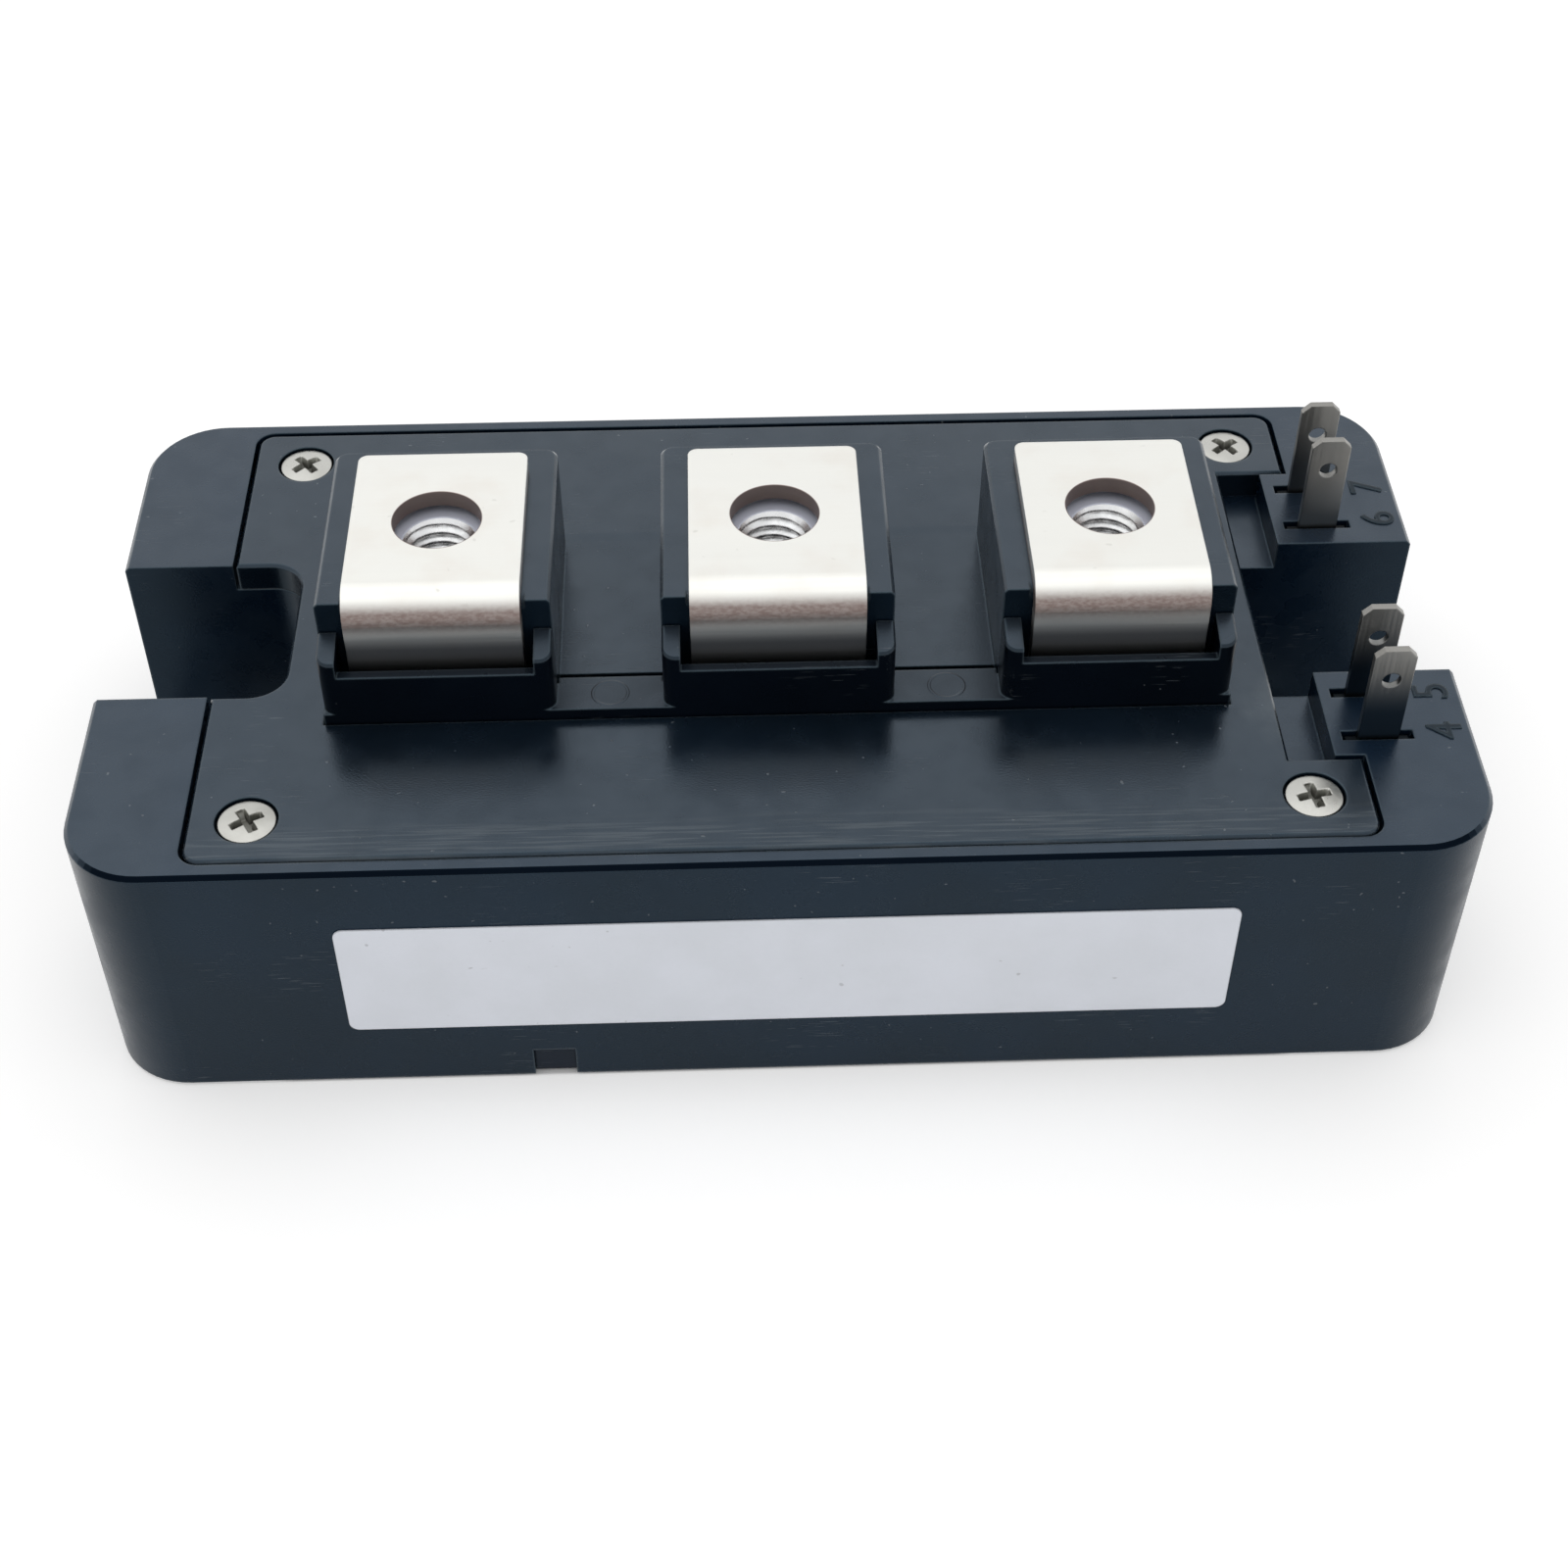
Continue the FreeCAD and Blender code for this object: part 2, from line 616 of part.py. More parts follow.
def make_rear_circuit():
    """Collector pad, emitter pad, sense pad and the gate pad with its long track, of the rear arm."""
    y0, y1 = copper_limits(1)
    right = copper_half_length
    half_gap = pattern_gap / 2
    collector = pad(-copper_half_length, rear_pad_split - half_gap, y0, y1)
    emitter = pad(rear_pad_split + half_gap, signal_pad_start - half_gap, y0, gate_track_start - half_gap)
    sense = pad(signal_pad_start + half_gap, right, y0, signal_pad_split - half_gap)
    track = pad(rear_pad_split + half_gap, right, gate_track_start + half_gap, y1)
    gate = pad(signal_pad_start + half_gap, right, signal_pad_split + half_gap, gate_track_start + 2 * half_gap)
    return Part.makeCompound([collector, emitter, sense, track.fuse(gate).removeSplitter()])


def make_chip(place, size):
    x, y = place
    return box(x - size / 2, x + size / 2, y - size / 2, y + size / 2, circuit_top, chip_top)


def make_wire(x0, z0, x1, z1, y):
    """One bond wire along X: up from its first foot, over, and down to its second."""
    crest = max(z0, z1) + wire_rise
    quarter = (x1 - x0) / 4
    points = [vec(x0, y, z0), vec(x0, y, z0 + wire_knee), vec(x0 + quarter, y, crest),
              vec(x1 - quarter, y, crest), vec(x1, y, z1 + wire_knee), vec(x1, y, z1)]
    angles = [math.radians(60 * i) for i in range(6)]
    radius = wire_diameter / 2
    section = [points[0] + vec(radius * math.cos(a), radius * math.sin(a), 0) for a in angles]
    path = Part.makePolygon(points)
    return path.makePipeShell([Part.makePolygon(section + [section[0]])], True, False, 1)


def make_bond_wires(stops, middle_y, gate_wire):
    """Rows of wires from stop to stop along X, and the single gate wire."""
    wires = []
    foot_step = 2 * wire_diameter
    for i in range(wire_count):
        y = middle_y + (i - (wire_count - 1) / 2) * wire_spacing
        for (x0, z0), (x1, z1) in zip(stops, stops[1:]):
            wires.append(make_wire(x0 + foot_step, z0, x1 - foot_step, z1, y))
    wires.append(make_wire(*gate_wire))
    return Part.makeCompound(wires)


def make_front_wires():
    emitter_foot = front_pad_split - pattern_gap / 2 - 2 * wire_diameter
    stops = [(emitter_foot - wire_diameter, circuit_top), (front_diode_place[0], chip_top),
             (front_transistor_place[0], chip_top)]
    gate_y = front_transistor_place[1] - transistor_size / 2 + 2 * wire_diameter
    gate_x = front_transistor_place[0] + transistor_size / 2 - 2 * wire_diameter
    pad_x = signal_pad_start + pattern_gap
    return make_bond_wires(stops, front_diode_place[1], (gate_x, chip_top, pad_x, circuit_top, gate_y))


def make_rear_wires():
    emitter_foot = rear_pad_split + pattern_gap / 2 + 2 * wire_diameter
    stops = [(rear_diode_place[0], chip_top), (rear_transistor_place[0], chip_top),
             (emitter_foot + wire_diameter, circuit_top)]
    gate_y = rear_transistor_place[1] + transistor_size / 2 - wire_diameter
    gate_x = rear_transistor_place[0] + transistor_size / 2 - 2 * wire_diameter
    return make_bond_wires(stops, rear_diode_place[1], (gate_x, chip_top, emitter_foot, circuit_top, gate_y))


def make_arm_link():
    """Bridge of copper strip from the front emitter pad to the rear collector pad."""
    middle = link_thickness / 2
    low = circuit_top + middle
    high = low + link_rise
    route = [(-link_far_y, low), (-link_near_y, low), (-link_near_y, high),
             (link_near_y, high), (link_near_y, low), (link_far_y, low)]
    x0 = link_place_x - link_width / 2
    return bent_sheet(route, x0, x0 + link_width, link_thickness, link_bend_radius)


def write(name, shape):
    shape.exportStep("parts/%s.step" % name)
    print(name, len(shape.Solids), "solids", round(shape.Volume, 2), "mm3", shape.isValid())


os.makedirs("parts", exist_ok=True)

# Terminal straps: the middle one reaches over the front circuit to the rear one
left, middle, right = terminal_places
half_leg = strap_leg_width / 2
straps = {
    "strap_left": make_strap(left, left - half_leg, left + half_leg, None),
    "strap_middle": make_strap(middle, middle - half_leg, middle + half_leg, strap_run_height),
    "strap_right": make_strap(right, right_foot_start, right_foot_end, None),
}

# Signal tabs, from the front of the right end to the rear
tabs = {
    "signal_tab_g1": make_signal_tab(-tab_outer_y),
    "signal_tab_e1": make_signal_tab(-tab_inner_y),
    "signal_tab_e2": make_signal_tab(tab_inner_y),
    "signal_tab_g2": make_signal_tab(tab_outer_y),
}

# Circuit of each arm
circuit = {
    "front_back_copper": make_back_copper(-1),
    "rear_back_copper": make_back_copper(1),
    "front_substrate": make_substrate(-1),
    "rear_substrate": make_substrate(1),
    "front_circuit_copper": make_front_circuit(),
    "rear_circuit_copper": make_rear_circuit(),
    "front_transistor_chip": make_chip(front_transistor_place, transistor_size),
    "rear_transistor_chip": make_chip(rear_transistor_place, transistor_size),
    "front_diode_chip": make_chip(front_diode_place, diode_size),
    "rear_diode_chip": make_chip(rear_diode_place, diode_size),
    "front_bond_wires": make_front_wires(),
    "rear_bond_wires": make_rear_wires(),
    "arm_link": make_arm_link(),
}

# Soft filling round everything in the lower part of the cavity
gel = make_cavity(plate_thickness, gel_top)
gel = gel.cut(list(straps.values()) + list(tabs.values()) + list(circuit.values()))

write("base_plate", make_base_plate())
write("case", make_case(list(tabs.values())))
write("lid", make_lid())
write("terminal_holder", make_terminal_holder())
write("terminal_nuts", Part.makeCompound([make_terminal_nut(place) for place in terminal_places]))
write("lid_screws", Part.makeCompound([make_lid_screw(x, y) for x, y in screw_places()]))
write("label", make_label())
write("silicone_gel", gel)
for group in (straps, tabs, circuit):
    for name, shape in group.items():
        write(name, shape)
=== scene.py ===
# %% [markdown]
# # Half-bridge transistor power module
# The imported CAD model already holds every solid of the module in its true place and size, so this lesson
# never moves one. It gives each solid a finish, replaces the nuts and the lid screws by pieces with real
# threads, adds four moulded numbers and a dark filler as painted shade in a cut, and sets the camera and the
# light.

# %% Load the frame
import math

import bmesh
import bpy
import numpy as np
from mathutils import Matrix, Vector


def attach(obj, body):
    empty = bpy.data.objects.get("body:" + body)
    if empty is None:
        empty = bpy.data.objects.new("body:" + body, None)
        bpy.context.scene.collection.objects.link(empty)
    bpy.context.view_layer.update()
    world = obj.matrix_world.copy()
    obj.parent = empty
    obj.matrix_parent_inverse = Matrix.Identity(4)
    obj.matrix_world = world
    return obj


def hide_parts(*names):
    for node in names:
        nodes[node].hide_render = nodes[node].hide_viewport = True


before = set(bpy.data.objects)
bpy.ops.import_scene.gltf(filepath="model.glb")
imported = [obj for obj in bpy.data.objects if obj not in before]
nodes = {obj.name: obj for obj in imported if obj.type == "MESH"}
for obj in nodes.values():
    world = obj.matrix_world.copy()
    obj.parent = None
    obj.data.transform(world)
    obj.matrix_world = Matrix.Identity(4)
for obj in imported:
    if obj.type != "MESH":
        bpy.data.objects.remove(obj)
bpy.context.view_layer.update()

mm = 0.001

# %% [markdown]
# ## The camera
# The photograph looks down on the front of the module at about 45 degrees. A camera can be set by eye, but
# then shapes can't be compared, so this one was worked out by matching known corners of the CAD model to the
# picture. The small shift is there because the photograph was cropped a little off the middle of its lens.

# %% Camera
image_side = 1600
pitch, yaw, roll = 0.79419, 0.03986, 0.00432
camera_place = Vector((-3.406, -132.619, 136.471)) * mm
focal_pixels = 2518.33
middle_x, middle_y = 817.19, 827.08

forward = Vector((math.sin(yaw) * math.cos(pitch), math.cos(yaw) * math.cos(pitch), -math.sin(pitch)))
level_right = forward.cross(Vector((0, 0, 1))).normalized()
level_up = level_right.cross(forward)
right = math.cos(roll) * level_right + math.sin(roll) * level_up
up = math.cos(roll) * level_up - math.sin(roll) * level_right

lens = bpy.data.cameras.new("photo_camera")
lens.sensor_width = 36
lens.lens = lens.sensor_width * focal_pixels / image_side
lens.shift_x = (image_side / 2 - middle_x) / image_side
lens.shift_y = (middle_y - image_side / 2) / image_side
lens.clip_start = 0.01
camera = bpy.data.objects.new("photo_camera", lens)
camera.matrix_world = Matrix.Translation(camera_place) @ Matrix((right, up, -forward)).transposed().to_4x4()
bpy.context.scene.collection.objects.link(camera)
bpy.context.scene.camera = camera
print("lens", round(lens.lens, 2), "mm, looking down", round(math.degrees(pitch), 1), "degrees")

# %% [markdown]
# ## One way to make nodes
# A finish is a node tree. Written node by node it hides the idea, so a small class wraps a socket: adding,
# subtracting or multiplying two signals makes the Math node, and one method makes every other node.

# %% Signals
class Signal:
    """A socket that carries a number or colour. An operator on it adds a Math node."""

    def __init__(self, finish, socket):
        self.finish = finish
        self.socket = socket

    def math(self, operation, first, second):
        return self.finish.add("ShaderNodeMath", {"operation": operation}, {0: first, 1: second})

    def __add__(self, other):
        return self.math("ADD", self, other)

    def __radd__(self, other):
        return self.math("ADD", other, self)

    def __sub__(self, other):
        return self.math("SUBTRACT", self, other)

    def __rsub__(self, other):
        return self.math("SUBTRACT", other, self)

    def __mul__(self, other):
        return self.math("MULTIPLY", self, other)

    def __rmul__(self, other):
        return self.math("MULTIPLY", other, self)

    def __abs__(self):
        return self.math("ABSOLUTE", self, 0.0)


print("a signal takes +, -, * and abs(), with a number on either side")

# %% Node trees and finishes
class Nodes:
    """A node tree, its shader and the nodes that feed it."""

    def __init__(self, tree, shader):
        self.tree = tree
        self.shader = tree.nodes[shader]

    def add(self, kind, settings=None, inputs=None, output=0):
        """Makes one node: settings first, then the values or links of its sockets."""
        node = self.tree.nodes.new(kind)
        for key, value in (settings or {}).items():
            setattr(node, key, value)
        for key, value in (inputs or {}).items():
            self.feed(node.inputs[key], value)
        return Signal(self, node.outputs[output])

    def feed(self, socket, value):
        """Links a signal to the socket, or sets the socket to a plain value."""
        if isinstance(value, Signal):
            self.tree.links.new(value.socket, socket)
        else:
            socket.default_value = value

    def set(self, **inputs):
        """Sets or links the shader's own sockets; an underscore stands for the space in a socket's name."""
        for key, value in inputs.items():
            self.feed(self.shader.inputs[key.replace("_", " ")], value)


class Finish(Nodes):
    """A material."""

    def __init__(self, name):
        self.material = bpy.data.materials.new(name)
        self.material.use_nodes = True
        super().__init__(self.material.node_tree, "Principled BSDF")

    def mix_over(self, factor, second):
        """Shows the second shader over the material's own, as much as the factor says."""
        own = Signal(self, self.shader.outputs[0])
        both = self.add("ShaderNodeMixShader", {}, {0: factor, 1: own, 2: second})
        self.feed(self.tree.nodes["Material Output"].inputs["Surface"], both)


def put_on(finish, *names):
    """Gives the finish to CAD nodes, by their material slots."""
    for name in names:
        for slot in nodes[name].material_slots:
            slot.material = finish.material
    print(finish.material.name, "on", ", ".join(names))


# %% [markdown]
# ## Patterns that several finishes share
# Moulded plastic, plated metal and paper all need fine grain, wide smudges, thin scratches and a few specks
# of dust. A picture of them would need a UV map and would blur close up, so each is noise on Object
# coordinates, in metres: a scale of 1000 gives blotches about 1 mm wide.

# %% Places and directions
def whereabouts(finish, stretch=(1, 1, 1), turn=0.0):
    """Object coordinates, multiplied along each axis and then turned about Z.

    Noise is alike in every direction, so the turn only picks another part of it."""
    place = finish.add("ShaderNodeTexCoord", output="Object")
    return finish.add("ShaderNodeMapping", {}, {"Vector": place, "Rotation": (0, 0, turn), "Scale": stretch})


def along_axes(finish, vector):
    """The X, Y and Z parts of a vector, as three signals."""
    first = finish.add("ShaderNodeSeparateXYZ", {}, {0: vector})
    return [Signal(finish, socket) for socket in first.socket.node.outputs]


def coordinates(finish):
    """X, Y and Z of the place, in metres."""
    return along_axes(finish, whereabouts(finish))


def true_normal(finish):
    """The direction that the face looks in, without any bump."""
    return finish.add("ShaderNodeNewGeometry", output="True Normal")


print("coordinates centre on the module, with the base plate's underside at 0")

# %% Ramps, blends and noise
mix_factor, mix_first, mix_second, mix_result = 0, 6, 7, 2


def ramp(finish, value, low, high, at_low=0.0, at_high=1.0):
    """Goes smoothly from one value to the other while the signal goes from low to high."""
    inputs = {"Value": value, "From Min": low, "From Max": high, "To Min": at_low, "To Max": at_high}
    return finish.add("ShaderNodeMapRange", {"interpolation_type": "SMOOTHSTEP"}, inputs)


def blend_colours(finish, factor, first, second):
    """The first colour where the factor is 0, and the second where it is 1."""
    first, second = [(*colour, 1) if isinstance(colour, tuple) else colour for colour in (first, second)]
    inputs = {mix_factor: factor, mix_first: first, mix_second: second}
    return finish.add("ShaderNodeMix", {"data_type": "RGBA"}, inputs, mix_result)


def noise(finish, vector, scale, detail=2.0):
    """Soft blotches from 0 to 1, mostly near 0.5. More detail adds finer ones on top."""
    return finish.add("ShaderNodeTexNoise", {}, {"Vector": vector, "Scale": scale, "Detail": detail})


def facing_up(finish):
    """1 where the surface looks up, falling to 0 where it is upright."""
    return ramp(finish, along_axes(finish, true_normal(finish))[2], 0.35, 0.9)


print("a Mix node of colours takes them at sockets", mix_first, "and", mix_second)

# %% Scratches and specks
scratch_stretch = 40


def scratches(finish, turn, scale, low=0.70, high=0.74):
    """Thin lines along X: noise squeezed along Y and Z, with only its peaks kept, and only in patches."""
    squeezed = whereabouts(finish, (1, scratch_stretch, scratch_stretch), turn)
    patches = noise(finish, whereabouts(finish), 130.0, 1.0)
    return ramp(finish, noise(finish, squeezed, scale, 1.0), low, high) * ramp(finish, patches, 0.56, 0.66)


def specks(finish, scale, low, high):
    """Dust: small peaks of fine noise, more of them in some places."""
    fine = noise(finish, whereabouts(finish), scale, 0.0)
    patches = noise(finish, whereabouts(finish), 70.0, 2.0)
    return ramp(finish, fine + 0.12 * patches, low, high)


print("a scratch is", scratch_stretch, "times as long as it is wide")

# %% Edges and bumps
bevel_samples = 6


def soft_edges(finish, radius):
    """The normal as if edges were rounded by the radius, and a mask that is 1 on those edges."""
    rounded = finish.add("ShaderNodeBevel", {"samples": bevel_samples}, {"Radius": radius})
    pair = {0: rounded, 1: true_normal(finish)}
    alike = finish.add("ShaderNodeVectorMath", {"operation": "DOT_PRODUCT"}, pair, "Value")
    return rounded, ramp(finish, 1.0 - alike, 0.01, 0.16)


def bumps(finish, height, distance, normal=None):
    """A normal that tilts where the height changes. The distance is how high a height of 1 stands."""
    inputs = {"Height": height, "Distance": distance}
    if normal:
        inputs["Normal"] = normal
    return finish.add("ShaderNodeBump", {}, inputs)


print("an edge is softened with", bevel_samples, "samples")

# %% [markdown]
# ## Charcoal moulded plastic
# The case, the lid and the terminal holder are glass-filled thermoplastic, a cool blue-black. The flat tops
# come off a polished face of the mould, so they mirror the room with a blue cast. The upright walls slid
# along the steel and came out duller. Gloss of one strength is a plain number on a shader, so there are two
# shaders, and the way that the surface faces mixes them. Handling has left fine scratches and a little pale
# dust.

# %% Plastic finish
plastic_edge_radius = 0.22 * mm
plastic_grain_depth = 0.010 * mm
wall_tint = (0.50, 0.79, 1.0, 1)
top_tint = (0.395, 0.575, 0.77, 1)
# Painted highlight: the colour that the rounded plastic edges are lightened towards.
painted_edge_highlight = (0.120, 0.160, 0.190)
rubbed_grey = (0.050, 0.057, 0.062)
scratch_grey = (0.20, 0.22, 0.24)
dust_grey = (0.30, 0.32, 0.34)
# The black of the painted dark reflection along the case's front top edge.
painted_reflection_black = (0.0012, 0.0030, 0.0070)


def moulded_plastic(name, colour, roughness, turn, polish, wall_gloss=0.24,
                    painted_dark_line=None, marks=None, rubbed=()):
    """Polish is how much of the mirror-like shader the tops get, and wall_gloss the gloss of the walls.

    The masks of the painted dark line, marks and rubbed places are functions, because each one adds nodes of
    its own."""
    finish = Finish(name)
    here = whereabouts(finish)
    flow = noise(finish, here, 85.0, 3.0)
    smudge = noise(finish, here, 420.0, 4.0)
    grain = noise(finish, here, 7000.0, 2.0)
    lines = scratches(finish, turn, 420.0)
    more_lines = scratches(finish, turn + 1.9, 300.0, 0.72, 0.75)
    dust = specks(finish, 2600.0, 0.92, 0.97)
    rounded, edge = soft_edges(finish, plastic_edge_radius)

    darker = tuple(0.7 * part for part in colour)
    shade = blend_colours(finish, ramp(finish, flow, 0.35, 0.65), darker, colour)
    # Painted highlight: the rounded edges are lightened towards pale blue, as if they caught the light.
    shade = blend_colours(finish, 0.55 * edge, shade, painted_edge_highlight)
    for rub in rubbed:
        shade = blend_colours(finish, rub(finish), shade, rubbed_grey)
    shade = blend_colours(finish, 0.40 * lines + 0.30 * more_lines, shade, scratch_grey)
    shade = blend_colours(finish, 0.30 * dust, shade, dust_grey)

    dull = ramp(finish, smudge, 0.30, 0.70, roughness - 0.04, roughness + 0.06) + 0.20 * dust + 0.10 * lines
    height = grain + 0.8 * lines + 1.5 * dust
    if marks:
        height = height + 2.5 * marks(finish)
    bumpy = bumps(finish, height, plastic_grain_depth, rounded)

    finish.set(Base_Color=shade, Roughness=dull, Normal=bumpy)
    finish.set(Specular_IOR_Level=wall_gloss, Specular_Tint=wall_tint)
    polished = finish.add("ShaderNodeBsdfPrincipled", {}, {
        "Base Color": shade, "Roughness": dull, "Normal": bumpy, "Specular IOR Level": 1.0,
        "Specular Tint": top_tint, "Coat Weight": 0.4, "Coat Roughness": roughness})
    shine = facing_up(finish) * ramp(finish, smudge + 0.6 * flow, 0.55, 1.05, polish, 0.84 * polish)
    shine = shine * (1.0 - 0.4 * lines) * (1.0 - 0.8 * edge)
    # Painted dark reflection: where its mask is 1 the plastic turns black metal and loses the polished gloss.
    if painted_dark_line:
        dark_line_mask = painted_dark_line(finish)
        finish.set(Base_Color=blend_colours(finish, dark_line_mask, shade, painted_reflection_black), Metallic=dark_line_mask)
        shine = shine * (1.0 - dark_line_mask)
    finish.mix_over(shine, polished)
    return finish


# %% [markdown]
# ## Marks, wear and a painted dark line on the plastic
# Each mark has its place on the real module, so each is a mask made from coordinates, in the lengths of the
# module. Painting them on a picture would tie them to one size of picture. The black line along the case's
# front edge is a painted dark reflection.

# %% Where the plastic is marked
terminal_pitch = 23.0
rub_spot = Vector((35.2, -10.4, 21.0)) * mm
ring_y = -8.4
ring_radius = 1.2


def front_edge(finish):
    """Painted dark reflection: a black line along the case's front top edge. As metal, a black colour leaves
    it no gloss.
    """
    _, looks_back, looks_up = along_axes(finish, true_normal(finish))
    _, y, _ = coordinates(finish)
    slope = ramp(finish, looks_up, 0.35, 0.60) * ramp(finish, looks_back, -0.60, -0.35, 1.0, 0.0)
    return slope * ramp(finish, y, -21.5 * mm, -17.0 * mm, 0.96, 0.0)


def worn_front(finish):
    """Level streaks along the front edge of the lid, where one module rubbed against the next."""
    streaks = noise(finish, whereabouts(finish, (1, 30, 1)), 170.0, 3.0)
    _, y, _ = coordinates(finish)
    return ramp(finish, streaks, 0.46, 0.66) * ramp(finish, y, -20.8 * mm, -18.8 * mm, 0.8, 0.0)


def worn_corner(finish):
    """A rubbed patch on the lid in front of the right notch."""
    here = whereabouts(finish)
    pair = {0: here, 1: rub_spot}
    distance = finish.add("ShaderNodeVectorMath", {"operation": "DISTANCE"}, pair, "Value")
    ragged = distance + 4.0 * mm * noise(finish, here, 700.0, 3.0)
    return ramp(finish, ragged, 3.2 * mm, 6.2 * mm, 0.75, 0.0)


def from_row(finish, first_x, row_y):
    """Distance, seen from above, to the nearest point of a row with one point for each terminal pitch."""
    x, y, _ = coordinates(finish)
    half = terminal_pitch / 2 * mm
    offset = finish.add("ShaderNodeMath", {"operation": "WRAP"}, {0: x - first_x * mm, 1: half, 2: -half})
    flat = finish.add("ShaderNodeCombineXYZ", {}, {0: offset, 1: y - row_y * mm})
    return finish.add("ShaderNodeVectorMath", {"operation": "LENGTH"}, {0: flat}, "Value")


def ejector_rings(finish):
    """Faint circles midway between the terminals, where round pins pushed the holder out of its mould."""
    from_ring = abs(from_row(finish, terminal_pitch / 2, ring_y) - ring_radius * mm)
    return ramp(finish, from_ring, 0.04 * mm, 0.14 * mm, 1.0, 0.0)


print("marks repeat every", terminal_pitch, "mm, from one terminal to the next")

# %% Plastics
case_plastic = moulded_plastic("case_plastic", (0.0026, 0.0092, 0.0215), 0.28, 0.35, 1.0,
                               wall_gloss=0.265, painted_dark_line=front_edge)
lid_plastic = moulded_plastic("lid_plastic", (0.0040, 0.0090, 0.0165), 0.22, 1.15, 1.0,
                              rubbed=[worn_front, worn_corner])
holder_plastic = moulded_plastic("holder_plastic", (0.0012, 0.0024, 0.0056), 0.30, 0.80, 0.9,
                                 wall_gloss=0.17, marks=ejector_rings)
put_on(case_plastic, "case")
put_on(lid_plastic, "lid")
put_on(holder_plastic, "terminal_holder")

# %% [markdown]
# ## Plated metals
# The straps are copper with a satin nickel plate. The dull brown band on their bend is a painted reflection,
# and the darker leg below it a painted dark reflection. The base plate, tabs, nuts and screws are plated too,
# each with its own gloss. Five finishes written out would repeat each other, so one function makes them all
# from a few numbers, and short functions say where each one is stained and where shade and reflections are
# painted on it.

# %% Metal finish
metal_edge_radius = 0.12 * mm
metal_grain_depth = 0.003 * mm
scratch_silver = (0.90, 0.89, 0.87)


def plated_metal(name, colour, roughness, grain_along, grain_scale, tarnish, spots=0.35, stains_and_shade=()):
    """Metal with a rolled grain: noise drawn out along one axis moves the gloss and the bump.

    Each mark on the metal is a function that gives its mask, the colour that it leaves and its roughness.
    Some are real stains; most are painted shade and reflections."""
    finish = Finish(name)
    stretch = tuple(0.02 if axis in grain_along else 1.0 for axis in range(3))
    grain = noise(finish, whereabouts(finish, stretch), grain_scale, 3.0)
    haze = noise(finish, whereabouts(finish), 240.0, 4.0)
    fine = noise(finish, whereabouts(finish), 3000.0, 2.0)
    lines = scratches(finish, 0.6, 520.0, 0.70, 0.75)
    dots = specks(finish, 1300.0, 0.87, 0.93)
    rounded, edge = soft_edges(finish, metal_edge_radius)
    shade = blend_colours(finish, 0.5 * ramp(finish, haze, 0.45, 0.75), colour, tarnish)
    shade = blend_colours(finish, spots * dots, shade, tuple(0.4 * part for part in tarnish))
    shade = blend_colours(finish, 0.20 * lines, shade, scratch_silver)
    gloss = ramp(finish, grain, 0.30, 0.70, roughness - 0.05, roughness + 0.06) + 0.08 * haze + 0.2 * dots
    for stain_and_shade, stain_and_shade_colour, stain_and_shade_roughness in stains_and_shade:
        mask = stain_and_shade(finish)
        shade = blend_colours(finish, mask, shade, stain_and_shade_colour)
        gloss = gloss + mask * (stain_and_shade_roughness - gloss)
    bumpy = bumps(finish, grain + 0.25 * fine - 0.5 * lines, metal_grain_depth, rounded)
    finish.set(Base_Color=shade, Roughness=gloss, Normal=bumpy)
    finish.set(Metallic=1.0)
    return finish


# %% Where the metals are stained, and where shade and reflections are painted on them
strap_hole_radius = 3.05


def height_ramp(finish, low, high, at_low, at_high):
    """Goes from one value to the other with the height over the base plate's underside, in mm."""
    _, _, z = coordinates(finish)
    return ramp(finish, z, low * mm, high * mm, at_low, at_high)


def painted_bend_reflection(finish):
    """Painted reflection: a brown band in the middle of the bend, in blotches."""
    blotches = noise(finish, whereabouts(finish, (1, 2, 2)), 2600.0, 3.0)
    above_leg = height_ramp(finish, 27.2, 28.7, 0.0, 1.0)
    below_top = height_ramp(finish, 29.2, 30.1, 1.0, 0.0)
    return above_leg * below_top * ramp(finish, blotches, 0.30, 0.70, 0.86, 1.0)


def painted_leg_reflection(finish):
    """Painted dark reflection: darkens the part that goes down into its box."""
    return height_ramp(finish, 26.2, 28.3, 0.90, 0.0)


def strap_hole_wall(finish):
    """1 on the punched wall of a strap's hole: nearer than its radius to the terminal's axis."""
    radius = from_row(finish, 0.0, 0.0)
    return ramp(finish, radius, (strap_hole_radius + 0.01) * mm, (strap_hole_radius + 0.07) * mm, 0.95, 0.0)


def painted_tab_shade(finish):
    """Painted shade: darkens the blade to a bluish black towards its foot, more on the two front tabs."""
    _, y, _ = coordinates(finish)
    return height_ramp(finish, 23.0, 27.2, 0.97, 0.0) * ramp(finish, y, -5.0 * mm, 5.0 * mm, 1.0, 0.5)


def painted_slot_shade(finish):
    """Painted shade: the foot of the blade, in its slot, made nearly black."""
    return height_ramp(finish, 20.8, 21.4, 0.92, 0.0)


def nut_face(finish):
    """The turned top face, which is left matt."""
    return height_ramp(finish, 28.56, 28.62, 0.0, 1.0)


def painted_recess_shade(finish):
    """Painted shade: the cross is darker the deeper it goes."""
    return height_ramp(finish, 20.3, 20.8, 0.85, 0.0)


def painted_rim_shade(finish):
    """Painted shade: 1 on the upright sheared edge of the base plate."""
    return 1.0 - facing_up(finish)


print("the strap's hole is", 2 * strap_hole_radius, "mm wide")

